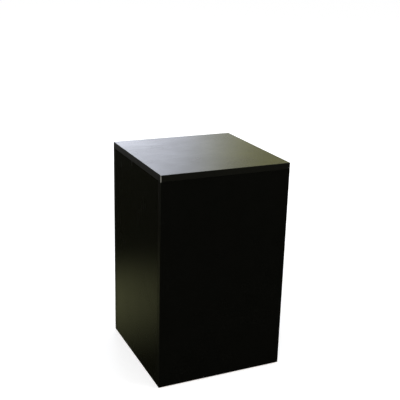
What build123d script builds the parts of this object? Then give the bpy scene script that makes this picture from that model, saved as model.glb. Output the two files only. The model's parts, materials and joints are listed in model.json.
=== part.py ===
from build123d import *
import math
import os

# A square display pedestal of black laminated board, put together with cam locks and dowels, open
# underneath and standing on four levelling feet. Millimetres. +Z is up and the front faces -Y. The
# origin is on the floor, under the middle of the box, with the feet screwed right in.

# The box
WIDTH = 375.0
DEPTH = 375.0
HEIGHT = 610.0
BOARD = 18.0
BAND = 1.0
BAND_ROUND = 0.7
FLOOR_GAP = 3.0

# Cam locks, their bolts and the dowels beside them
CAM_RADIUS = 7.5
CAM_DEPTH = 13.4
CAM_CHAMFER = 0.8
CAM_SETBACK = 34.0
CAM_HOOK_RADIUS = 5.2
CAM_TURN = 180.0
CROSS_LENGTH = 7.0
CROSS_WIDTH = 1.5
CROSS_DEPTH = 2.5
BOLT_THREAD_RADIUS = 3.0
BOLT_THREAD_LENGTH = 11.0
BOLT_FLANGE_LENGTH = 2.0
BOLT_SHANK_RADIUS = 2.5
BOLT_NECK_RADIUS = 1.6
BOLT_NECK_LENGTH = 6.0
BOLT_HEAD_RADIUS = 3.3
BOLT_HEAD_LENGTH = 3.6
BOLT_TIP = 1.2
EDGE_BORE_RADIUS = 4.0
DOWEL_RADIUS = 4.0
DOWEL_LENGTH = 30.0
DOWEL_IN_FACE = 11.0
DOWEL_CHAMFER = 1.0
FIT = 0.05
HOLE_END = 1.0

# Where the corner joints and the joints under the top have their fasteners
CORNER_CAMS = 2
CORNER_CAM_END = 96.0
TOP_CAM_OFFSET = 96.0
DOWEL_STEP = 32.0

# Corner brackets of folded sheet steel, with a nut welded in, and their screws
SHEET = 2.0
BRACKET_LEG = 45.0
BRACKET_RISE = 40.0
BRACKET_BEND = 3.0
BRACKET_NOTCH = 5.0
BRACKET_ROUND = 6.0
BRACKET_CUT_OFF = 16.0
SCREW_RADIUS = 1.9
SCREW_LENGTH = 15.0
SCREW_HEAD_RADIUS = 3.8
SCREW_HEAD_RISE = 2.2
SCREW_HEAD_EDGE = 1.1
SCREW_HEAD_FLAT = 2.6
SCREW_HOLE_RADIUS = 2.3
SCREW_SPACING = 24.0
SCREW_FROM_TOP = 10.0
PLATE_HOLE_RADIUS = 6.0
NUT_FLATS = 13.0
NUT_HEIGHT = 6.5
NUT_CHAMFER_ANGLE = 30.0

# Levelling feet: a plastic pad that holds the ball of a steel stem
PAD_RADIUS = 16.0
PAD_RIM = 4.0
PAD_LIP = 2.0
PAD_CHAMFER = 0.8
PAD_FLOOR = 2.0
PAD_RIBS = 6
RIB_THICKNESS = 1.6
RIB_DROP = 1.0
BOSS_RADIUS = 8.0
BALL_RADIUS = 5.0
BALL_HELD = 2.4
NECK_RADIUS = 3.0
NECK_LENGTH = 3.5
COLLAR_FLATS = 13.0
COLLAR_HEIGHT = 5.0
STEM_RADIUS = 4.0
STEM_LENGTH = 30.0
STEM_CHAMFER = 0.8
SLOT_WIDTH = 1.4
SLOT_DEPTH = 3.0
STOP_GAP = 0.3

# Worked out from the sizes above
half_w = WIDTH / 2
half_d = DEPTH / 2
inner_x = half_w - BOARD
inner_y = half_d - BOARD
sides_low = FLOOR_GAP
sides_high = HEIGHT - BOARD
mid_board = BOARD / 2
ball_height = PAD_FLOOR + BALL_RADIUS + FIT
boss_top = ball_height + BALL_HELD
collar_low = boss_top + NECK_LENGTH
collar_high = collar_low + COLLAR_HEIGHT
bracket_low = collar_high + STOP_GAP
foot_inset = BRACKET_LEG / 2
CORNERS = {"front_left": (-1, -1), "front_right": (1, -1), "back_left": (-1, 1), "back_right": (1, 1)}

TO_TOP = (Align.CENTER, Align.CENTER, Align.MAX)
FROM_FLOOR = (Align.CENTER, Align.CENTER, Align.MIN)


def slab(x, y, z):
    """A block that fills a low-to-high pair on each axis."""
    middle = [sum(pair) / 2 for pair in (x, y, z)]
    size = [pair[1] - pair[0] for pair in (x, y, z)]
    return Pos(*middle) * Box(*size)


def turned(points):
    """A solid turned about Z from a closed outline of (radius, height) points."""
    outline = Plane.XZ * Polyline(*points, close=True)
    return revolve(make_face(outline), Axis.Z)


def hexagon(across_flats, height):
    """A hexagonal prism standing on z = 0."""
    return extrude(RegularPolygon(across_flats / 2, 6, major_radius=False), height)


def spread(count, low, high):
    """Evenly spaced values from low to high."""
    return [low + (high - low) * i / (count - 1) for i in range(count)]


# Each joint has its own frame. Its origin is where the mating faces meet, at mid board. +Z points
# into the board that holds the cam, and +X towards that board's inner face.


def corner_frame(side_x, side_y, height):
    origin = (side_x * (half_w - mid_board), side_y * inner_y, height)
    return Plane(origin=origin, x_dir=(-side_x, 0, 0), z_dir=(0, -side_y, 0)).location


def top_frame_front_back(side_y, along):
    origin = (along, side_y * (half_d - mid_board), sides_high)
    return Plane(origin=origin, x_dir=(0, -side_y, 0), z_dir=(0, 0, -1)).location


def top_frame_left_right(side_x, along):
    origin = (side_x * (half_w - mid_board), along, sides_high)
    return Plane(origin=origin, x_dir=(-side_x, 0, 0), z_dir=(0, 0, -1)).location


def corner_cam_heights():
    return spread(CORNER_CAMS, sides_low + CORNER_CAM_END, sides_high - CORNER_CAM_END)


def corner_dowel_heights():
    heights = corner_cam_heights()
    return [heights[0] + DOWEL_STEP, heights[-1] - DOWEL_STEP]


def corner_cam_frames(side_x, side_y):
    return [corner_frame(side_x, side_y, z) for z in corner_cam_heights()]


def corner_dowel_frames(side_x, side_y):
    return [corner_frame(side_x, side_y, z) for z in corner_dowel_heights()]


def top_cam_frames(side_y):
    return [top_frame_front_back(side_y, x) for x in (-TOP_CAM_OFFSET, TOP_CAM_OFFSET)]


def top_dowel_offsets():
    return (DOWEL_STEP - TOP_CAM_OFFSET, TOP_CAM_OFFSET - DOWEL_STEP)


def all_cam_frames():
    frames = [f for x, y in CORNERS.values() for f in corner_cam_frames(x, y)]
    return frames + [f for y in (-1, 1) for f in top_cam_frames(y)]


def all_dowel_frames():
    frames = [f for x, y in CORNERS.values() for f in corner_dowel_frames(x, y)]
    for side in (-1, 1):
        for along in top_dowel_offsets():
            frames += [top_frame_front_back(side, along), top_frame_left_right(side, along)]
    return frames


def cam_place():
    """The cam's own frame within a joint's frame: its slotted face lies in the board's inner face."""
    return Plane(origin=(mid_board, 0, CAM_SETBACK), x_dir=(0, 0, 1), z_dir=(1, 0, 0)).location


def bolt_head_step():
    """The length of the cone at each end of the bolt's head."""
    return (BOLT_HEAD_RADIUS - BOLT_NECK_RADIUS) / 2


def cam_eccentricity():
    """How far the hook's bore is off the cam's axis, so that it bears on the rim of the bolt's head."""
    rim = bolt_head_step() - BOLT_HEAD_LENGTH / 2
    return rim - FIT + math.sqrt(CAM_HOOK_RADIUS**2 - BOLT_HEAD_RADIUS**2)


def cam_lock():
    """The zinc cam, locked. Its slotted face is at z = 0, and the bolt comes in along +X at mid board.

    The hook is what an off-centre bore leaves of the drum. The bore breaks out on the far side, and
    that mouth takes in the head. A slot for the neck runs round from the mouth to the bolt.
    """
    radius = CAM_RADIUS - FIT
    body = Cylinder(radius, CAM_DEPTH, align=TO_TOP)
    body = chamfer(body.edges().group_by(Axis.Z)[0], CAM_CHAMFER)
    bar = Box(CROSS_LENGTH, CROSS_WIDTH, CROSS_DEPTH, align=TO_TOP)
    cross = bar + Rot(0, 0, 90) * bar
    hollow = Cylinder(CAM_HOOK_RADIUS, 2 * (BOLT_HEAD_RADIUS + STOP_GAP))
    hollow = Pos(cam_eccentricity(), 0, -mid_board) * hollow
    slot_half = BOLT_NECK_RADIUS + STOP_GAP
    reach = radius + HOLE_END
    section = Plane.XZ * Pos(reach / 2, -mid_board) * Rectangle(reach, 2 * slot_half)
    slot = revolve(section, Axis.Z, CAM_TURN)
    neck_way = Pos(0, 0, -mid_board) * Rot(0, -90, 0) * Cylinder(slot_half, reach, align=FROM_FLOOR)
    return body - cross - hollow - slot - neck_way


def cam_bolt():
    """The cam bolt along +Z: its thread is in the face board and its head is in the cam."""
    head_low = CAM_SETBACK - BOLT_HEAD_LENGTH / 2
    head_high = CAM_SETBACK + BOLT_HEAD_LENGTH / 2
    neck_low = head_low - BOLT_NECK_LENGTH
    head_step = bolt_head_step()
    flange_radius = EDGE_BORE_RADIUS - FIT
    return turned(
        [
            (0, -BOLT_THREAD_LENGTH),
            (BOLT_THREAD_RADIUS - BOLT_TIP, -BOLT_THREAD_LENGTH),
            (BOLT_THREAD_RADIUS, -BOLT_THREAD_LENGTH + BOLT_TIP),
            (BOLT_THREAD_RADIUS, 0),
            (flange_radius, 0),
            (flange_radius, BOLT_FLANGE_LENGTH),
            (BOLT_SHANK_RADIUS, BOLT_FLANGE_LENGTH),
            (BOLT_SHANK_RADIUS, neck_low),
            (BOLT_NECK_RADIUS, neck_low),
            (BOLT_NECK_RADIUS, head_low),
            (BOLT_HEAD_RADIUS, head_low + head_step),
            (BOLT_HEAD_RADIUS, head_high - head_step),
            (BOLT_HEAD_RADIUS - head_step, head_high),
            (0, head_high),
        ]
    )


def dowel():
    """A beech dowel along +Z, with its short end in the face board."""
    rod = Pos(0, 0, -DOWEL_IN_FACE) * Cylinder(DOWEL_RADIUS, DOWEL_LENGTH, align=FROM_FLOOR)
    ends = rod.edges().filter_by(GeomType.CIRCLE)
    return chamfer(ends, DOWEL_CHAMFER)


def cam_cut():
    """What a cam lock takes out of the board that holds it."""
    bore = Cylinder(EDGE_BORE_RADIUS, CAM_SETBACK, align=FROM_FLOOR)
    pocket = Cylinder(CAM_RADIUS, CAM_DEPTH + FIT, align=TO_TOP)
    return bore + cam_place() * pocket


def bolt_cut():
    """What the bolt's thread takes out of the face board."""
    return Cylinder(BOLT_THREAD_RADIUS + FIT, BOLT_THREAD_LENGTH + HOLE_END, align=TO_TOP)


def dowel_cut_face():
    return Cylinder(DOWEL_RADIUS + FIT, DOWEL_IN_FACE + HOLE_END, align=TO_TOP)


def dowel_cut_edge():
    return Cylinder(DOWEL_RADIUS + FIT, DOWEL_LENGTH - DOWEL_IN_FACE + HOLE_END, align=FROM_FLOOR)


def cut_from(board, frames, cutter):
    """Takes the same cutter out of a board at each frame."""
    return board - [frame * cutter for frame in frames]


def top_panel():
    board = slab((BAND - half_w, half_w - BAND), (BAND - half_d, half_d - BAND), (sides_high, HEIGHT))
    offsets = top_dowel_offsets()
    dowels = [top_frame_front_back(s, a) for s in (-1, 1) for a in offsets]
    dowels += [top_frame_left_right(s, a) for s in (-1, 1) for a in offsets]
    board = cut_from(board, top_cam_frames(-1) + top_cam_frames(1), bolt_cut())
    return cut_from(board, dowels, dowel_cut_face())


def front_or_back_panel(side_y):
    y = sorted((side_y * inner_y, side_y * half_d))
    board = slab((BAND - half_w, half_w - BAND), y, (sides_low, sides_high))
    for side_x in (-1, 1):
        board = cut_from(board, corner_cam_frames(side_x, side_y), bolt_cut())
        board = cut_from(board, corner_dowel_frames(side_x, side_y), dowel_cut_face())
        board = board - screw_pilots(side_x, side_y, along_x=True)
    dowels = [top_frame_front_back(side_y, a) for a in top_dowel_offsets()]
    board = cut_from(board, top_cam_frames(side_y), cam_cut())
    return cut_from(board, dowels, dowel_cut_edge())


def left_or_right_panel(side_x):
    x = sorted((side_x * inner_x, side_x * half_w))
    board = slab(x, (-inner_y, inner_y), (sides_low, sides_high))
    for side_y in (-1, 1):
        board = cut_from(board, corner_cam_frames(side_x, side_y), cam_cut())
        board = cut_from(board, corner_dowel_frames(side_x, side_y), dowel_cut_edge())
        board = board - screw_pilots(side_x, side_y, along_x=False)
    dowels = [top_frame_left_right(side_x, a) for a in top_dowel_offsets()]
    return cut_from(board, dowels, dowel_cut_edge())


def rounded_strip(x, y, z, along, outside):
    """A strip of edging whose long outer edges are rounded. outside is an axis that points out of it."""
    strip = slab(x, y, z)
    edges = strip.faces().sort_by(outside)[-1].edges()
    return fillet(edges.filter_by(along), BAND_ROUND)


def outward(side_x, side_y):
    return Axis((0, 0, 0), (side_x, side_y, 0))


def top_band_front_or_back(side_y):
    y = sorted((side_y * half_d, side_y * (half_d - BAND)))
    strip = slab((-half_w, half_w), y, (sides_high, HEIGHT))
    return fillet(strip.faces().sort_by(outward(0, side_y))[-1].edges(), BAND_ROUND)


def top_band_left_or_right(side_x):
    x = sorted((side_x * half_w, side_x * (half_w - BAND)))
    y = (BAND - half_d, half_d - BAND)
    return rounded_strip(x, y, (sides_high, HEIGHT), Axis.Y, outward(side_x, 0))


def corner_band(side_x, side_y):
    """The edging on a front or back panel's upright edge, which shows on the side of the box."""
    x = sorted((side_x * half_w, side_x * (half_w - BAND)))
    y = sorted((side_y * inner_y, side_y * half_d))
    return rounded_strip(x, y, (sides_low, sides_high), Axis.Z, outward(side_x, 0))


# Brackets, screws and feet are drawn in the corner where x and y are both above zero, with the
# room's corner at the origin and the walls running along +X and +Y.


def in_corner(side_x, side_y, shape):
    """Brings a shape drawn in its own corner to a corner of the box."""
    placed = shape
    if side_x > 0:
        placed = mirror(placed, about=Plane.YZ)
    if side_y > 0:
        placed = mirror(placed, about=Plane.XZ)
    return Pos(side_x * inner_x, side_y * inner_y, 0) * placed


def screw_places():
    """Where the two screws on one wing stand, measured along the wall from the corner."""
    middle = (BRACKET_NOTCH + BRACKET_LEG) / 2
    return [middle - SCREW_SPACING / 2, middle + SCREW_SPACING / 2]


def screw_height():
    return bracket_low + BRACKET_RISE - SCREW_FROM_TOP


def wing_frame(along):
    """A screw's frame on the wing that lies against the wall along +X. +Z points out of the wall."""
    origin = (along, SHEET, screw_height())
    return Plane(origin=origin, x_dir=(1, 0, 0), z_dir=(0, 1, 0)).location


def both_wings(shape):
    """The same shape on the wing along +X and on the wing along +Y."""
    return [shape, mirror(shape, about=Plane(origin=(0, 0, 0), z_dir=(1, -1, 0)))]


def wing():
    """One wing of the bracket, with its bend and a strip of the foot plate."""
    strip = BRACKET_BEND + SHEET
    inside = [(strip, SHEET), (SHEET, SHEET), (SHEET, BRACKET_RISE)]
    section = make_face(Polyline((0, 0), (strip, 0), *inside, (0, BRACKET_RISE), close=True))
    outer = section.vertices().sort_by_distance((0, 0, 0))[0]
    section = fillet(outer, BRACKET_BEND)
    inner = section.vertices().sort_by_distance((SHEET, SHEET, 0))[0]
    section = fillet(inner, BRACKET_BEND - SHEET)
    upright = extrude(Plane.YZ * section, BRACKET_LEG - BRACKET_NOTCH)
    upright = Pos(BRACKET_NOTCH, 0, 0) * upright
    tops = upright.edges().filter_by(Axis.Y).group_by(Axis.Z)[-1]
    upright = fillet(tops, BRACKET_ROUND)
    for along in screw_places():
        hole = wing_frame(along) * Cylinder(SCREW_HOLE_RADIUS, 2 * (SHEET + HOLE_END))
        upright = upright - Pos(0, 0, -bracket_low) * hole
    return upright


def foot_plate():
    low = BRACKET_BEND + SHEET / 2
    far = BRACKET_LEG
    cut = BRACKET_LEG - BRACKET_CUT_OFF
    points = [(low, low), (far, low), (far, cut), (cut, far), (low, far)]
    outline = make_face(Polyline(*points, close=True))
    diagonal = Axis((0, 0, 0), (1, 1, 0))
    blunt = outline.vertices().group_by(diagonal)[-1]
    plate = extrude(fillet(blunt, BRACKET_ROUND), SHEET)
    return plate - Pos(foot_inset, foot_inset, 0) * Cylinder(PLATE_HOLE_RADIUS, 2 * (SHEET + HOLE_END))


def bracket():
    folded = foot_plate()
    for part in both_wings(wing()):
        folded = folded + part
    return Pos(0, 0, bracket_low) * folded


def weld_nut():
    """The hexagon nut on the foot plate, with the collar that centres it in the plate's hole."""
    prism = hexagon(NUT_FLATS, NUT_HEIGHT)
    flat_radius = NUT_FLATS / 2
    drop = flat_radius * math.tan(math.radians(NUT_CHAMFER_ANGLE))
    cone_low = (2 * flat_radius, NUT_HEIGHT - drop)
    blunting = turned([(0, 0), (2 * flat_radius, 0), cone_low, (flat_radius, NUT_HEIGHT), (0, NUT_HEIGHT)])
    collar = Cylinder(PLATE_HOLE_RADIUS - FIT, SHEET, align=TO_TOP)
    bore = Cylinder(STEM_RADIUS + FIT, 2 * (NUT_HEIGHT + SHEET))
    nut = (prism & blunting) + collar - bore
    return Pos(foot_inset, foot_inset, bracket_low + SHEET) * nut


def screw():
    """A pan-head screw along -Z, whose head rests on z = 0."""
    return turned(
        [
            (0, -SCREW_LENGTH),
            (SCREW_RADIUS, SCREW_RADIUS - SCREW_LENGTH),
            (SCREW_RADIUS, 0),
            (SCREW_HEAD_RADIUS, 0),
            (SCREW_HEAD_RADIUS, SCREW_HEAD_EDGE),
            (SCREW_HEAD_FLAT, SCREW_HEAD_RISE),
            (0, SCREW_HEAD_RISE),
        ]
    )


def screw_pilots(side_x, side_y, along_x):
    """The screw holes in one wall of a corner."""
    cutter = Cylinder(SCREW_RADIUS + FIT, SCREW_LENGTH, align=TO_TOP)
    holes = []
    for along in screw_places():
        on_wings = both_wings(wing_frame(along) * cutter)
        holes.append(in_corner(side_x, side_y, on_wings[0 if along_x else 1]))
    return holes


def foot_pad():
    """The round plastic pad, ribbed up to the boss that grips the ball."""
    body = turned(
        [
            (0, 0),
            (PAD_RADIUS - PAD_CHAMFER, 0),
            (PAD_RADIUS, PAD_CHAMFER),
            (PAD_RADIUS, PAD_LIP),
            (PAD_RADIUS - PAD_CHAMFER, PAD_RIM),
            (BOSS_RADIUS, PAD_RIM),
            (BOSS_RADIUS, boss_top),
            (0, boss_top),
        ]
    )
    rib_top = boss_top - RIB_DROP
    rib_points = [(0, PAD_RIM), (PAD_RADIUS - PAD_CHAMFER, PAD_RIM), (BOSS_RADIUS, rib_top), (0, rib_top)]
    rib_side = Plane.XZ * make_face(Polyline(*rib_points, close=True))
    rib = extrude(rib_side, RIB_THICKNESS / 2, both=True)
    for i in range(PAD_RIBS):
        body = body + Rot(0, 0, 360 * i / PAD_RIBS) * rib
    return body - Pos(0, 0, ball_height) * Sphere(BALL_RADIUS + FIT)


def foot_stem():
    """The steel stem: a ball, a neck, a hexagon to turn it by and the threaded rod, slotted on top."""
    ball = Pos(0, 0, ball_height) * Sphere(BALL_RADIUS)
    neck = slab_round(NECK_RADIUS, ball_height, collar_low)
    collar = Pos(0, 0, collar_low) * hexagon(COLLAR_FLATS, COLLAR_HEIGHT)
    rod = slab_round(STEM_RADIUS, collar_high, collar_high + STEM_LENGTH)
    rod = chamfer(rod.edges().group_by(Axis.Z)[-1], STEM_CHAMFER)
    slot = Pos(0, 0, collar_high + STEM_LENGTH) * Box(3 * STEM_RADIUS, SLOT_WIDTH, 2 * SLOT_DEPTH)
    return ball + neck + collar + rod - slot


def slab_round(radius, low, high):
    return Pos(0, 0, low) * Cylinder(radius, high - low, align=FROM_FLOOR)


def in_foot_place(side_x, side_y, shape):
    return Pos(side_x * (inner_x - foot_inset), side_y * (inner_y - foot_inset), 0) * shape


def all_screws():
    found = []
    for side_x, side_y in CORNERS.values():
        for along in screw_places():
            for fitted in both_wings(wing_frame(along) * screw()):
                found.append(in_corner(side_x, side_y, fitted))
    return found


def pieces():
    """Every node's name with its solid, or its group of like solids."""
    found = {"top_panel": top_panel()}
    for name, side in (("front", -1), ("back", 1)):
        found[f"{name}_panel"] = front_or_back_panel(side)
        found[f"top_band_{name}"] = top_band_front_or_back(side)
    for name, side in (("left", -1), ("right", 1)):
        found[f"{name}_panel"] = left_or_right_panel(side)
        found[f"top_band_{name}"] = top_band_left_or_right(side)
    nuts = []
    for name, (side_x, side_y) in CORNERS.items():
        found[f"corner_band_{name}"] = corner_band(side_x, side_y)
        found[f"bracket_{name}"] = in_corner(side_x, side_y, bracket())
        found[f"foot_pad_{name}"] = in_foot_place(side_x, side_y, foot_pad())
        found[f"foot_stem_{name}"] = in_foot_place(side_x, side_y, foot_stem())
        nuts.append(in_corner(side_x, side_y, weld_nut()))
    found["bracket_nuts"] = Compound(nuts)
    found["bracket_screws"] = Compound(all_screws())
    found["cam_locks"] = Compound([frame * cam_place() * cam_lock() for frame in all_cam_frames()])
    found["cam_bolts"] = Compound([frame * cam_bolt() for frame in all_cam_frames()])
    found["dowels"] = Compound([frame * dowel() for frame in all_dowel_frames()])
    return found


os.makedirs("parts", exist_ok=True)
for node, shape in pieces().items():
    export_step(shape, f"parts/{node}.step")
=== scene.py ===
import json
import math

import bmesh
import bpy
from mathutils import Matrix, Vector


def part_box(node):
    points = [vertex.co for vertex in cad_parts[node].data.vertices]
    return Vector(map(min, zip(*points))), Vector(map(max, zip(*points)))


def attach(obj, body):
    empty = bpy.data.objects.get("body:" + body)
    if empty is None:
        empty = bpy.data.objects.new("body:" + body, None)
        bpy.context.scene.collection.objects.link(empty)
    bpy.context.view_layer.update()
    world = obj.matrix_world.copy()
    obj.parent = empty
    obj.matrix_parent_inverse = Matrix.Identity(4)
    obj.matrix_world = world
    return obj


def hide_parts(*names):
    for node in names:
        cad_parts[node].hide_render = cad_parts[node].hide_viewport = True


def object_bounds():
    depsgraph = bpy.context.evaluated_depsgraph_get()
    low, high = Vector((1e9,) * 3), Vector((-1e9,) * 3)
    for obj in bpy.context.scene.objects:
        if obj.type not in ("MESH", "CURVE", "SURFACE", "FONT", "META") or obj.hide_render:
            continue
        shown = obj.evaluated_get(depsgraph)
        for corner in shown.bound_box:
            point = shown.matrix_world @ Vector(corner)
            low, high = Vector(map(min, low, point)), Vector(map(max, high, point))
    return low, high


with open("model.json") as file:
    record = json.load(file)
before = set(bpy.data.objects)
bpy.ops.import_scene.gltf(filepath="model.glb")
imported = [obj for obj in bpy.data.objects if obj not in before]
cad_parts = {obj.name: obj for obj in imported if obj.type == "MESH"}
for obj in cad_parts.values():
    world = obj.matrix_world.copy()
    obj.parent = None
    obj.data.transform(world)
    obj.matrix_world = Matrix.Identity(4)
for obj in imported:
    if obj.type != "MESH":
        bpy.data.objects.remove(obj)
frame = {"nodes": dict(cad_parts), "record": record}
cad_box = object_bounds()

# The camera, in metres, millimetres of lens and degrees, solved from the box's seven visible corners
CAMERA_PLACE = (-0.8614, -1.8775, 1.1410)
CAMERA_AZIMUTH = -24.876
CAMERA_DOWN = 18.056
CAMERA_ROLL = 1.538
LENS = 68.145
SENSOR = 36.0
CAMERA_REACH = 200.0

# Sizes taken from the frame
HALF_W, HALF_D, HEIGHT = cad_box[1]
SIDES_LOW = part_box("front_panel")[0][2]
SIDES_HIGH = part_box("front_panel")[1][2]
INNER_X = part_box("right_panel")[0][0]
INNER_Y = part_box("back_panel")[0][1]
CORNERS = {"front_left": (-1, -1), "front_right": (1, -1), "back_left": (-1, 1), "back_right": (1, 1)}

# The bracket's screws: where they stand along each wing and below its top, and the screw itself
SCREW_ALONG = (0.013, 0.037)
SCREW_FROM_TOP = 0.010
SHEET = 0.002
SCREW_RADIUS = 0.0019
SCREW_LENGTH = 0.015
SCREW_PITCH = 0.0014
SCREW_THREAD_DEPTH = 0.0006
SCREW_HEAD_RADIUS = 0.0038
SCREW_HEAD_RISE = 0.0022
SCREW_HEAD_SIDE = 0.45
SCREW_HEAD_CROWN = 1.3
SHANK_OVERLAP = 0.0001
RECESS_SPAN = 0.0042
RECESS_WIDTH = 0.0009
RECESS_DEPTH = 0.0014

# The foot's stem
BALL_RADIUS = 0.005
NECK_RADIUS = 0.003
COLLAR_FLATS = 0.013
COLLAR_HEIGHT = 0.005
STEM_RADIUS = 0.004
STEM_LENGTH = 0.030
STEM_PITCH = 0.00125
STEM_THREAD_DEPTH = 0.00068
STEM_CHAMFER = 0.0008
SLOT_WIDTH = 0.0014
SLOT_DEPTH = 0.003
NECK_OVERLAP = 0.0005

# How finely each turned piece is divided: rows along it and steps around it. Past the pole's edge, on
# either side of the middle, a row closes on the axis. Points nearer than a weld are merged.
HEAD_ROWS = 12
HEAD_AROUND = 36
SHANK_ROWS = 88
SHANK_AROUND = 20
BALL_ROWS = 20
NECK_ROWS = 4
BALL_AROUND = 32
COLLAR_ROWS = 20
ROD_ROWS = 192
ROD_AROUND = 36
POLE_EDGE = 0.4999
GRID_WELD = 0.000001
MESH_WELD = 0.0000005

# The laminate and the edge banding: how strongly they mirror, where the panels' raw lower edges end,
# how much the top's bands lean back, and where their corners show a pale scuff with a painted highlight
LAMINATE_IOR = 1.15
EDGING_IOR = 1.17
RAW_MARGIN = 0.0001
BAND_LEAN = 0.0010
SCUFF_AND_HIGHLIGHT_FULL = 0.0006
SCUFF_AND_HIGHLIGHT_GONE = 0.0015

# The floor, and the light that it and the world give off by themselves
FLOOR_HALF = 60.0
FLOOR_PAINT = 0.88
FLOOR_BOOST = 0.45
WORLD_LEVEL = 0.62

# A black sheet round the box that only gloss sees, a painted dark reflection, with two pools of painted
# warm glow on it, a painted reflection. It reaches furthest to the front and the right, where the front's
# top band would mirror the pale floor.
PAINTED_SHEET_LOW = (-4.0, -20.0)
PAINTED_SHEET_HIGH = (20.0, 4.0)
PAINTED_SHEET_LIFT = 0.0005
PAINTED_DARK_REFLECTION_LEVEL = 0.025
PAINTED_GLOW_COLOUR = (1.0, 1.03, 0.5)
# The two pools of painted warm glow, which the box's sides mirror as a painted reflection
LEFT_PAINTED_GLOW = {"centre": (-0.24, 0.41, 0.0), "reach": 0.48, "strength": 0.39}
RIGHT_PAINTED_GLOW = {"centre": (0.55, 0.45, 0.0), "reach": 0.55, "strength": 0.30}

# The window behind the box that the top reflects. Its headings are degrees from +Y towards +X.
WINDOW_LEFT = 8.0
WINDOW_RIGHT = 38.0
WINDOW_AWAY = 4.0
WINDOW_LOW = 1.0
WINDOW_HIGH = 2.6
WINDOW_COOL = (1.01, 1.05, 1.18)
WINDOW_WARM = (1.06, 1.05, 0.46)
COOL_UNTIL = 21.0
WARM_FROM = 33.0
BRIGHT_UNTIL = 9.0
DIM_FROM = 33.0
WINDOW_BRIGHT = 6.5
WINDOW_DIM = 1.0

# The two lamps in front of the box
LAMP_SIDE = 1.6
LAMP_AIM = (0.0, 0.0, 0.3)
LEFT_LAMP_PLACE = (-2.6, -2.6, 3.2)
LEFT_LAMP_WATTS = 60.0
RIGHT_LAMP_PLACE = (2.8, -2.2, 3.0)
RIGHT_LAMP_WATTS = 45.0


class Tree:
    """A node tree, with short ways to add a node and join it up."""

    def __init__(self, tree):
        self.tree = tree
        self.tree.nodes.clear()

    def add(self, kind, inputs=None, **settings):
        made = self.tree.nodes.new(kind)
        for key, value in settings.items():
            setattr(made, key, value)
        for key, value in (inputs or {}).items():
            self.put(made.inputs[key], value)
        return made

    def put(self, socket, value):
        if isinstance(value, bpy.types.NodeSocket):
            self.tree.links.new(value, socket)
        else:
            socket.default_value = value

    def math(self, operation, *values):
        made = self.add("ShaderNodeMath", operation=operation)
        for socket, value in zip(made.inputs, values):
            self.put(socket, value)
        return made.outputs[0]

    def ramp(self, value, low, high, to_low=0.0, to_high=1.0):
        """A smooth step of a value from one pair of numbers to another."""
        made = self.add("ShaderNodeMapRange", interpolation_type="SMOOTHSTEP")
        for socket, number in zip(made.inputs, (value, low, high, to_low, to_high)):
            self.put(socket, number)
        return made.outputs[0]

    def axes(self, place):
        return self.add("ShaderNodeSeparateXYZ", {"Vector": place}).outputs

    def point(self, x, y, z):
        return self.add("ShaderNodeCombineXYZ", {"X": x, "Y": y, "Z": z}).outputs[0]


class Recipe(Tree):
    """A material's nodes."""

    def __init__(self, name):
        self.material = bpy.data.materials.new(name)
        self.material.use_nodes = True
        super().__init__(self.material.node_tree)

    def place(self):
        return self.add("ShaderNodeTexCoord").outputs["Object"]

    def stretched(self, place, scale):
        return self.add("ShaderNodeMapping", {"Vector": place, "Scale": scale}).outputs[0]

    def noise(self, place, cell, detail=2.0, roughness=0.5):
        """Noise whose lumps are about one cell across, in metres."""
        settings = {"Vector": place, "Scale": 1 / cell, "Detail": detail, "Roughness": roughness}
        return self.add("ShaderNodeTexNoise", settings).outputs["Fac"]

    def blend(self, share, first, second):
        made = self.add("ShaderNodeMix", data_type="RGBA")
        self.put(made.inputs[0], share)
        self.put(made.inputs[6], first)
        self.put(made.inputs[7], second)
        return made.outputs[2]

    def bump(self, height, distance, under=None):
        """A bump whose height of 1 stands a distance proud, on top of another bump."""
        made = self.add("ShaderNodeBump", {"Height": height, "Distance": distance})
        if under is not None:
            self.put(made.inputs["Normal"], under)
        return made.outputs["Normal"]

    def close(self, shader):
        out = self.add("ShaderNodeOutputMaterial")
        self.tree.links.new(shader, out.inputs[0])
        return self.material

    def finish(self, **inputs):
        shader = self.add("ShaderNodeBsdfPrincipled")
        for key, value in inputs.items():
            self.put(shader.inputs[key.replace("_", " ")], value)
        return self.close(shader.outputs[0])


def shade(red, green, blue):
    return (red, green, blue, 1.0)


def laminate():
    """Black melamine: a faint pearl grain, palm-sized differences in sheen, raw chipboard underneath."""
    r = Recipe("black_laminate_finish")
    place = r.place()
    grain = r.noise(place, 0.0012, 1.0)
    waves = r.noise(place, 0.045, 2.0)
    wiped = r.noise(r.stretched(place, (1.0, 5.0, 1.0)), 0.06, 3.0)
    clouded = r.ramp(r.noise(place, 0.09, 3.0), 0.3, 0.7, 0.0, 0.04)
    streaked = r.ramp(wiped, 0.3, 0.7, 0, 0.02)
    rough = r.math("ADD", r.math("ADD", clouded, streaked), 0.22)
    patches = r.noise(place, 0.05, 4.0)
    tone = r.blend(patches, shade(0.0019, 0.0020, 0.0014), shade(0.0027, 0.0027, 0.0020))
    chips = r.noise(place, 0.0022, 3.0, 0.7)
    raw = r.blend(chips, shade(0.18, 0.105, 0.05), shade(0.55, 0.40, 0.24))
    under = r.math("LESS_THAN", r.axes(place)[2], SIDES_LOW + RAW_MARGIN)
    return r.finish(
        Base_Color=r.blend(under, tone, raw),
        Roughness=r.ramp(under, 0, 1, rough, 0.9),
        IOR=LAMINATE_IOR,
        Normal=r.bump(grain, 0.00002, r.bump(waves, 0.00006)),
    )


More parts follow.
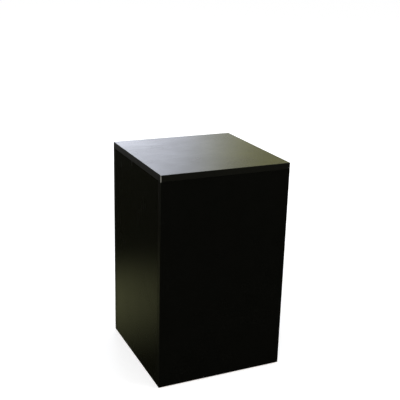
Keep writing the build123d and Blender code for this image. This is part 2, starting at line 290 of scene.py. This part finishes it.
def edging():
    """Black edge banding: duller than the faces, and painted pale at the top's corners, a scuff together
    with a painted highlight. On the top it leans back a little."""
    r = Recipe("black_edging_finish")
    place = r.place()
    x, y, z = r.axes(place)
    patches = r.noise(place, 0.02, 3.0)
    tone = r.blend(patches, shade(0.0020, 0.0020, 0.0015), shade(0.0032, 0.0032, 0.0024))
    from_x = r.math("SUBTRACT", HALF_W, r.math("ABSOLUTE", x))
    from_y = r.math("SUBTRACT", HALF_D, r.math("ABSOLUTE", y))
    from_corner = r.math("MAXIMUM", from_x, from_y)
    at_corner = r.ramp(from_corner, SCUFF_AND_HIGHLIGHT_FULL, SCUFF_AND_HIGHLIGHT_GONE, 1.0, 0.0)
    on_top_band = r.ramp(z, SIDES_HIGH - 0.001, SIDES_HIGH + 0.001)
    patchy = r.ramp(r.noise(place, 0.012, 4.0, 0.6), 0.42, 0.56)
    # The pale corner mark is partly a scuff and partly a painted highlight on the rounded corner
    scuff_and_highlight = r.math("MULTIPLY", r.math("MULTIPLY", at_corner, on_top_band), patchy)
    streaks = r.noise(r.stretched(place, (1.0, 1.0, 0.2)), 0.003, 2.0)
    rough = r.ramp(streaks, 0.3, 0.7, 0.34, 0.44)
    middle = (SIDES_HIGH + HEIGHT) / 2
    off = r.math("DIVIDE", r.math("SUBTRACT", z, middle), (HEIGHT - SIDES_HIGH) / 2)
    lean = r.math("MULTIPLY", off, r.math("MULTIPLY", on_top_band, -1.0))
    return r.finish(
        Base_Color=r.blend(scuff_and_highlight, tone, shade(0.36, 0.35, 0.31)),
        Roughness=rough,
        IOR=EDGING_IOR,
        Normal=r.bump(streaks, 0.00001, r.bump(lean, BAND_LEAN)),
        Specular_Tint=shade(1.0, 1.0, 0.75),
    )


def plated_steel():
    """Zinc plate: bright, faintly bluish, with fine pits and cloudy patches."""
    r = Recipe("zinc_plate_finish")
    place = r.place()
    clouds = r.noise(place, 0.008, 4.0, 0.6)
    pits = r.noise(place, 0.0005, 2.0)
    tone = r.blend(clouds, shade(0.50, 0.51, 0.52), shade(0.68, 0.68, 0.66))
    rough = r.ramp(clouds, 0.3, 0.7, 0.26, 0.42)
    return r.finish(Base_Color=tone, Metallic=1.0, Roughness=rough, Normal=r.bump(pits, 0.00001))


def cast_zinc():
    """Die-cast zinc: greyer and rougher than plate, with a sandy grain."""
    r = Recipe("cast_zinc_finish")
    place = r.place()
    sand = r.noise(place, 0.0004, 3.0, 0.7)
    stain = r.noise(place, 0.004, 3.0)
    tone = r.blend(stain, shade(0.34, 0.34, 0.35), shade(0.50, 0.50, 0.49))
    rough = r.ramp(sand, 0.3, 0.7, 0.4, 0.6)
    return r.finish(Base_Color=tone, Metallic=1.0, Roughness=rough, Normal=r.bump(sand, 0.00003))


def beech():
    """Beech: pale pinkish brown with short dark flecks."""
    r = Recipe("beech_finish")
    place = r.place()
    figure = r.noise(place, 0.004, 4.0, 0.6)
    flecks = r.ramp(r.noise(place, 0.0007, 1.0), 0.62, 0.70)
    wood = r.blend(figure, shade(0.56, 0.36, 0.20), shade(0.70, 0.50, 0.31))
    tone = r.blend(flecks, wood, shade(0.36, 0.20, 0.10))
    rough = r.ramp(figure, 0.3, 0.7, 0.55, 0.7)
    return r.finish(Base_Color=tone, Roughness=rough, Normal=r.bump(figure, 0.00005))


def foot_plastic():
    """Black moulded plastic with a spark-eroded grain, greyed by dust low down."""
    r = Recipe("foot_plastic_finish")
    place = r.place()
    grain = r.noise(place, 0.0005, 2.0)
    low = r.ramp(r.axes(place)[2], 0.0, 0.004, 1.0, 0.0)
    dust = r.math("MULTIPLY", low, r.ramp(r.noise(place, 0.003, 4.0, 0.6), 0.4, 0.7))
    tone = r.blend(dust, shade(0.012, 0.012, 0.012), shade(0.09, 0.085, 0.075))
    rough = r.ramp(grain, 0.3, 0.7, 0.45, 0.6)
    return r.finish(Base_Color=tone, Roughness=rough, Normal=r.bump(grain, 0.00003))


class Bench(Tree):
    """A Geometry Nodes tree that makes one kind of piece, with a named input for each size."""

    def __init__(self, name, sizes, takes_places=False):
        super().__init__(bpy.data.node_groups.new(name, "GeometryNodeTree"))
        self.sizes = sizes
        self.keys = {}
        face = self.tree.interface
        face.new_socket("Geometry", in_out="OUTPUT", socket_type="NodeSocketGeometry")
        if takes_places:
            face.new_socket("Places", in_out="INPUT", socket_type="NodeSocketGeometry")
        for size in sizes:
            socket = face.new_socket(size, in_out="INPUT", socket_type="NodeSocketFloat")
            self.keys[size] = socket.identifier
        self.given = self.add("NodeGroupInput").outputs

    def turned(self, rows, around, shape):
        """A closed surface about Z. From two shares, along and around, shape gives radius and height."""
        counts = {"Size X": 1.0, "Size Y": 1.0, "Vertices X": rows + 1, "Vertices Y": around + 1}
        grid = self.add("GeometryNodeMeshGrid", counts).outputs["Mesh"]
        across = self.axes(self.add("GeometryNodeInputPosition").outputs[0])
        share = self.math("ADD", across[0], 0.5)
        turn = self.math("ADD", across[1], 0.5)
        radius, height = shape(share, turn)
        inside = self.math("LESS_THAN", self.math("ABSOLUTE", across[0]), POLE_EDGE)
        radius = self.math("MULTIPLY", radius, inside)
        angle = self.math("MULTIPLY", turn, math.tau)
        x = self.math("MULTIPLY", radius, self.math("COSINE", angle))
        y = self.math("MULTIPLY", radius, self.math("SINE", angle))
        place = self.point(x, y, height)
        moved = self.add("GeometryNodeSetPosition", {"Geometry": grid, "Position": place}).outputs[0]
        weld = {"Geometry": moved, "Distance": GRID_WELD}
        return self.add("GeometryNodeMergeByDistance", weld).outputs[0]

    def threaded(self, radius, pitch, depth, height, turn):
        """The radius of a V thread at a height and a share of a turn."""
        climb = self.math("SUBTRACT", self.math("DIVIDE", height, pitch), turn)
        along = self.math("FRACT", climb)
        ridge = self.math("ABSOLUTE", self.math("SUBTRACT", along, 0.5))
        cut = self.math("MULTIPLY", self.math("MULTIPLY", ridge, 2.0), depth)
        return self.math("SUBTRACT", radius, cut)

    def block(self, x, y, z):
        return self.add("GeometryNodeMeshCube", {"Size": self.point(x, y, z)}).outputs["Mesh"]

    def shifted(self, shape, x=0.0, y=0.0, z=0.0, turn=0.0):
        settings = {"Geometry": shape, "Translation": self.point(x, y, z), "Rotation": (0, 0, turn)}
        return self.add("GeometryNodeTransform", settings).outputs[0]

    def joined(self, shapes):
        made = self.add("GeometryNodeJoinGeometry")
        for shape in shapes:
            self.tree.links.new(shape, made.inputs[0])
        return made.outputs[0]

    def cut(self, shape, cutters):
        made = self.add("GeometryNodeMeshBoolean", operation="DIFFERENCE", solver="EXACT")
        self.put(made.inputs["Mesh 1"], shape)
        for cutter in cutters:
            self.tree.links.new(cutter, made.inputs["Mesh 2"])
        return made.outputs["Mesh"]

    def finish(self, shape, material):
        real = self.add("GeometryNodeRealizeInstances", {"Geometry": shape}).outputs[0]
        dressed = self.add("GeometryNodeSetMaterial", {"Geometry": real, "Material": material}).outputs[0]
        out = self.add("NodeGroupOutput")
        self.tree.links.new(dressed, out.inputs[0])

    def make(self, name, base=None):
        """The tree's result as a plain mesh object, with its faces outwards."""
        mesh = base or bpy.data.meshes.new(name)
        worker = bpy.data.objects.new(name, mesh)
        bpy.context.scene.collection.objects.link(worker)
        modifier = worker.modifiers.new("shape", "NODES")
        modifier.node_group = self.tree
        for size, key in self.keys.items():
            modifier[key] = self.sizes[size]
        ready = worker.evaluated_get(bpy.context.evaluated_depsgraph_get())
        result = bpy.data.meshes.new_from_object(ready)
        worker.modifiers.clear()
        worker.data = result
        tidy_faces(result)
        return worker


def tidy_faces(mesh):
    """Merges doubled points and turns every face outwards."""
    shape = bmesh.new()
    shape.from_mesh(mesh)
    bmesh.ops.remove_doubles(shape, verts=shape.verts, dist=MESH_WELD)
    bmesh.ops.recalc_face_normals(shape, faces=shape.faces)
    shape.to_mesh(mesh)
    shape.free()


def screw_places():
    """Where each bracket screw's head rests, and which way it faces."""
    found = []
    for corner, (side_x, side_y) in CORNERS.items():
        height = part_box(f"bracket_{corner}")[1][2] - SCREW_FROM_TOP
        for along in SCREW_ALONG:
            on_front = (side_x * (INNER_X - along), side_y * (INNER_Y - SHEET), height)
            on_side = (side_x * (INNER_X - SHEET), side_y * (INNER_Y - along), height)
            found += [(on_front, (0, -side_y, 0)), (on_side, (-side_x, 0, 0))]
    return found


def bracket_screws(material):
    """Pan-head screws with a cross recess, one at each place on the brackets."""
    sizes = {
        "Radius": SCREW_RADIUS,
        "Length": SCREW_LENGTH,
        "Pitch": SCREW_PITCH,
        "Thread Depth": SCREW_THREAD_DEPTH,
        "Head Radius": SCREW_HEAD_RADIUS,
        "Head Rise": SCREW_HEAD_RISE,
        "Recess Span": RECESS_SPAN,
        "Recess Width": RECESS_WIDTH,
        "Recess Depth": RECESS_DEPTH,
    }
    b = Bench("cross_head_screw", sizes, takes_places=True)
    size = b.given

    def shank(share, turn):
        height = b.math("MULTIPLY", b.math("SUBTRACT", share, 1.0), size["Length"])
        ridge = b.threaded(size["Radius"], size["Pitch"], size["Thread Depth"], height, turn)
        point = b.math("MULTIPLY", share, size["Length"])
        return b.math("MINIMUM", ridge, point), b.math("ADD", height, SHANK_OVERLAP)

    def head(share, turn):
        angle = b.math("MULTIPLY", share, math.pi / 2)
        wide = b.math("POWER", b.math("COSINE", angle), SCREW_HEAD_SIDE)
        tall = b.math("POWER", b.math("SINE", angle), SCREW_HEAD_CROWN)
        return b.math("MULTIPLY", wide, size["Head Radius"]), b.math("MULTIPLY", tall, size["Head Rise"])

    deep = b.math("MULTIPLY", size["Recess Depth"], 2.0)
    bar = b.shifted(b.block(size["Recess Span"], size["Recess Width"], deep), z=size["Head Rise"])
    crossed = b.shifted(bar, turn=math.pi / 2)
    topped = b.cut(b.turned(HEAD_ROWS, HEAD_AROUND, head), [bar, crossed])
    whole = b.joined([topped, b.turned(SHANK_ROWS, SHANK_AROUND, shank)])
    named = {"Name": "facing"}
    facing = b.add("GeometryNodeInputNamedAttribute", named, data_type="FLOAT_VECTOR").outputs[0]
    turned = b.add("FunctionNodeAlignRotationToVector", {"Vector": facing}, axis="Z").outputs[0]
    spread = {"Points": size["Places"], "Instance": whole, "Rotation": turned}
    b.finish(b.add("GeometryNodeInstanceOnPoints", spread).outputs[0], material)
    places = screw_places()
    base = bpy.data.meshes.new("screw_places")
    base.from_pydata([place for place, facing in places], [], [])
    ways = base.attributes.new("facing", "FLOAT_VECTOR", "POINT")
    for value, (place, facing) in zip(ways.data, places):
        value.vector = facing
    screws = b.make("cross_head_screws", base)
    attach(screws, "carcass")
    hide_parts("bracket_screws")


def threaded_stems(material):
    """The feet's stems: a ball, a neck, a chamfered hexagon and a threaded rod with a slot on top."""
    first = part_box("foot_stem_front_left")
    ball_low = first[0][2]
    rod_high = first[1][2]
    collar_low = rod_high - STEM_LENGTH - COLLAR_HEIGHT
    sizes = {
        "Ball Radius": BALL_RADIUS,
        "Neck Radius": NECK_RADIUS,
        "Collar Flats": COLLAR_FLATS,
        "Collar Height": COLLAR_HEIGHT,
        "Rod Radius": STEM_RADIUS,
        "Rod Length": STEM_LENGTH,
        "Pitch": STEM_PITCH,
        "Thread Depth": STEM_THREAD_DEPTH,
        "Chamfer": STEM_CHAMFER,
        "Slot Width": SLOT_WIDTH,
        "Slot Depth": SLOT_DEPTH,
    }
    b = Bench("threaded_stem", sizes)
    size = b.given

    def ball(share, turn):
        angle = b.math("MULTIPLY", share, math.pi)
        drop = b.math("MULTIPLY", b.math("COSINE", angle), size["Ball Radius"])
        height = b.math("SUBTRACT", ball_low + BALL_RADIUS, drop)
        return b.math("MULTIPLY", b.math("SINE", angle), size["Ball Radius"]), height

    def neck(share, turn):
        height = b.math("MULTIPLY", share, collar_low + NECK_OVERLAP - ball_low - BALL_RADIUS)
        return size["Neck Radius"], b.math("ADD", height, ball_low + BALL_RADIUS)

    def collar(share, turn):
        height = b.math("MULTIPLY", share, size["Collar Height"])
        sector = b.math("SUBTRACT", b.math("FRACT", b.math("MULTIPLY", turn, 6.0)), 0.5)
        slant = b.math("COSINE", b.math("MULTIPLY", sector, math.pi / 3))
        half_flat = b.math("DIVIDE", size["Collar Flats"], 2.0)
        flat = b.math("DIVIDE", half_flat, slant)
        from_high = b.math("SUBTRACT", size["Collar Height"], height)
        from_end = b.math("MINIMUM", height, from_high)
        cone = b.math("ADD", half_flat, b.math("MULTIPLY", from_end, math.sqrt(3)))
        return b.math("MINIMUM", flat, cone), b.math("ADD", height, collar_low)

    def rod(share, turn):
        height = b.math("MULTIPLY", share, size["Rod Length"])
        ridge = b.threaded(size["Rod Radius"], size["Pitch"], size["Thread Depth"], height, turn)
        from_end = b.math("SUBTRACT", size["Rod Length"], height)
        blunt = b.math("ADD", b.math("SUBTRACT", size["Rod Radius"], size["Chamfer"]), from_end)
        return b.math("MINIMUM", ridge, blunt), b.math("ADD", height, rod_high - STEM_LENGTH)

    slot_length = b.math("MULTIPLY", size["Rod Radius"], 3.0)
    slot = b.block(slot_length, size["Slot Width"], b.math("MULTIPLY", size["Slot Depth"], 2.0))
    slotted = b.cut(b.turned(ROD_ROWS, ROD_AROUND, rod), [b.shifted(slot, z=rod_high)])
    lower = [b.turned(BALL_ROWS, BALL_AROUND, ball), b.turned(NECK_ROWS, BALL_AROUND, neck)]
    b.finish(b.joined(lower + [b.turned(COLLAR_ROWS, ROD_AROUND, collar), slotted]), material)
    pattern = b.make("stem_pattern")
    for corner in CORNERS:
        low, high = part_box(f"foot_stem_{corner}")
        middle = Vector(((low[0] + high[0]) / 2, (low[1] + high[1]) / 2, 0))
        mesh = pattern.data.copy()
        mesh.transform(Matrix.Translation(middle))
        stem = bpy.data.objects.new(f"threaded_stem_{corner}", mesh)
        bpy.context.scene.collection.objects.link(stem)
        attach(stem, f"stem_{corner}")
        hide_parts(f"foot_stem_{corner}")
    bpy.data.objects.remove(pattern)


def make_camera():
    """A camera at its solved place, turned by azimuth, then down, then rolled."""
    turn, down, roll = (math.radians(a) for a in (CAMERA_AZIMUTH, CAMERA_DOWN, CAMERA_ROLL))
    back = Vector((math.sin(turn) * math.cos(down), -math.cos(turn) * math.cos(down), math.sin(down)))
    right = (-back).cross(Vector((0, 0, 1))).normalized()
    up = right.cross(-back)
    across = math.cos(roll) * right + math.sin(roll) * up
    upright = math.cos(roll) * up - math.sin(roll) * right
    data = bpy.data.cameras.new("picture_camera")
    data.sensor_width = SENSOR
    data.lens = LENS
    data.clip_end = CAMERA_REACH
    camera = bpy.data.objects.new("picture_camera", data)
    bpy.context.scene.collection.objects.link(camera)
    turned = Matrix((across, upright, back)).transposed().to_4x4()
    camera.matrix_world = Matrix.Translation(CAMERA_PLACE) @ turned
    bpy.context.scene.camera = camera


def under_box(r, place):
    """1 beneath the box, inside its four sides, and 0 elsewhere."""
    x, y, z = r.axes(place)
    inside_x = r.math("LESS_THAN", r.math("ABSOLUTE", x), INNER_X)
    inside_y = r.math("LESS_THAN", r.math("ABSOLUTE", y), INNER_Y)
    return r.math("MULTIPLY", inside_x, inside_y)


def clear_where(r, share, shader):
    """The shader, with a see-through one in its place where the share is 1."""
    clear = r.add("ShaderNodeBsdfTransparent")
    mixed = r.add("ShaderNodeMixShader", {0: share})
    r.tree.links.new(shader, mixed.inputs[1])
    r.tree.links.new(clear.outputs[0], mixed.inputs[2])
    return mixed.outputs[0]


def white_boost(tree, boost):
    """How much light a surface adds for the rays that show the background."""
    path = tree.add("ShaderNodeLightPath").outputs
    seen = tree.math("ADD", path["Is Camera Ray"], path["Is Glossy Ray"])
    seen = tree.math("ADD", seen, path["Is Transmission Ray"])
    return tree.math("MULTIPLY", tree.math("MINIMUM", seen, 1.0), boost)


def flat_sheet(name, points, material):
    mesh = bpy.data.meshes.new(name)
    mesh.from_pydata(points, [], [(0, 1, 2, 3)])
    mesh.materials.append(material)
    sheet = bpy.data.objects.new(name, mesh)
    bpy.context.scene.collection.objects.link(sheet)
    return sheet


def rectangle(low, high, height):
    near = [(low[0], low[1], height), (high[0], low[1], height)]
    far = [(high[0], high[1], height), (low[0], high[1], height)]
    return near + far


def make_floor():
    """A pale floor. It is clear from beneath and under the hollow box, so that the underside shows."""
    r = Recipe("pale_floor")
    paint = r.add("ShaderNodeBsdfDiffuse", {"Color": shade(FLOOR_PAINT, FLOOR_PAINT, FLOOR_PAINT)})
    glow = r.add("ShaderNodeEmission", {"Strength": white_boost(r, FLOOR_BOOST)})
    both = r.add("ShaderNodeAddShader")
    r.tree.links.new(paint.outputs[0], both.inputs[0])
    r.tree.links.new(glow.outputs[0], both.inputs[1])
    from_below = r.add("ShaderNodeNewGeometry").outputs["Backfacing"]
    clear = r.math("MAXIMUM", from_below, under_box(r, r.place()))
    corners = rectangle((-FLOOR_HALF, -FLOOR_HALF), (FLOOR_HALF, FLOOR_HALF), 0.0)
    flat_sheet("floor", corners, r.close(clear_where(r, clear, both.outputs[0])))


def make_painted_reflection():
    """A black sheet laid round the box, a painted dark reflection with painted pools of warm glow on it.
    Only gloss sees it, and the metal parts under the box look past it through the hole in its middle."""
    r = Recipe("black_cloth")
    place = r.place()
    painted_strength = PAINTED_DARK_REFLECTION_LEVEL
    # Each pool adds painted warm glow, which the box's sides mirror as a painted reflection
    for painted_spot in (LEFT_PAINTED_GLOW, RIGHT_PAINTED_GLOW):
        ends = {0: place, 1: painted_spot["centre"]}
        away = r.add("ShaderNodeVectorMath", ends, operation="DISTANCE").outputs["Value"]
        painted_strength = r.math("ADD", painted_strength, r.ramp(away, 0.0, painted_spot["reach"], painted_spot["strength"], 0.0))
    glow = r.add("ShaderNodeEmission", {"Color": shade(*PAINTED_GLOW_COLOUR), "Strength": painted_strength})
    shader = clear_where(r, under_box(r, place), glow.outputs[0])
    painted_sheet = flat_sheet("black_cloth", rectangle(PAINTED_SHEET_LOW, PAINTED_SHEET_HIGH, PAINTED_SHEET_LIFT), r.close(shader))
    # Seen by gloss only, so the sheet paints the dark reflection and the glow in the box's sides
    painted_sheet.visible_camera = False
    painted_sheet.visible_diffuse = False
    painted_sheet.visible_shadow = False
    painted_sheet.visible_transmission = False


def make_world():
    world = bpy.data.worlds.new("studio")
    world.use_nodes = True
    bpy.context.scene.world = world
    r = Tree(world.node_tree)
    strength = r.math("ADD", white_boost(r, 1.0 - WORLD_LEVEL), WORLD_LEVEL)
    sky = r.add("ShaderNodeBackground", {"Color": shade(1, 1, 1), "Strength": strength})
    out = r.add("ShaderNodeOutputWorld")
    r.tree.links.new(sky.outputs[0], out.inputs[0])


def make_lamp(name, place, watts):
    data = bpy.data.lights.new(name, "AREA")
    data.shape = "SQUARE"
    data.size = LAMP_SIDE
    data.energy = watts
    lamp = bpy.data.objects.new(name, data)
    bpy.context.scene.collection.objects.link(lamp)
    turn = (Vector(LAMP_AIM) - Vector(place)).to_track_quat("-Z", "Y")
    lamp.matrix_world = Matrix.Translation(place) @ turn.to_matrix().to_4x4()


def across_window(heading):
    """How far along X a heading points, on a circle as far away as the window."""
    return math.sin(math.radians(heading)) * WINDOW_AWAY


def window_light():
    """Cool and bright at its left end, warm and dim at its right."""
    r = Recipe("window_light")
    x = r.axes(r.place())[0]
    warm = r.ramp(x, across_window(COOL_UNTIL), across_window(WARM_FROM))
    colour = r.blend(warm, shade(*WINDOW_COOL), shade(*WINDOW_WARM))
    ends = across_window(BRIGHT_UNTIL), across_window(DIM_FROM)
    strength = r.ramp(x, *ends, WINDOW_BRIGHT, WINDOW_DIM)
    glow = r.add("ShaderNodeEmission", {"Color": colour, "Strength": strength})
    return r.close(glow.outputs[0])


def window_corner(heading, height):
    return across_window(heading), math.cos(math.radians(heading)) * WINDOW_AWAY, height


def make_window():
    """The window, upright between its two headings. The camera doesn't see it."""
    lower = [window_corner(WINDOW_LEFT, WINDOW_LOW), window_corner(WINDOW_RIGHT, WINDOW_LOW)]
    upper = [window_corner(WINDOW_RIGHT, WINDOW_HIGH), window_corner(WINDOW_LEFT, WINDOW_HIGH)]
    flat_sheet("window", lower + upper, window_light()).visible_camera = False


def dress(finishes):
    """Gives every CAD node the finish of its slot."""
    slots = {piece["node"]: piece["material_slot"] for piece in frame["record"]["subparts"]}
    for name, node in frame["nodes"].items():
        node.data.materials.clear()
        node.data.materials.append(finishes[slots[name]])


finishes = {
    "black_laminate": laminate(),
    "black_edging": edging(),
    "zinc_plated_steel": plated_steel(),
    "cast_zinc": cast_zinc(),
    "beech": beech(),
    "foot_plastic": foot_plastic(),
}
make_camera()
make_floor()
make_painted_reflection()
make_world()
make_window()
make_lamp("left_lamp", LEFT_LAMP_PLACE, LEFT_LAMP_WATTS)
make_lamp("right_lamp", RIGHT_LAMP_PLACE, RIGHT_LAMP_WATTS)
dress(finishes)
bracket_screws(finishes["zinc_plated_steel"])
threaded_stems(finishes["zinc_plated_steel"])
bpy.context.scene.view_settings.view_transform = "Standard"
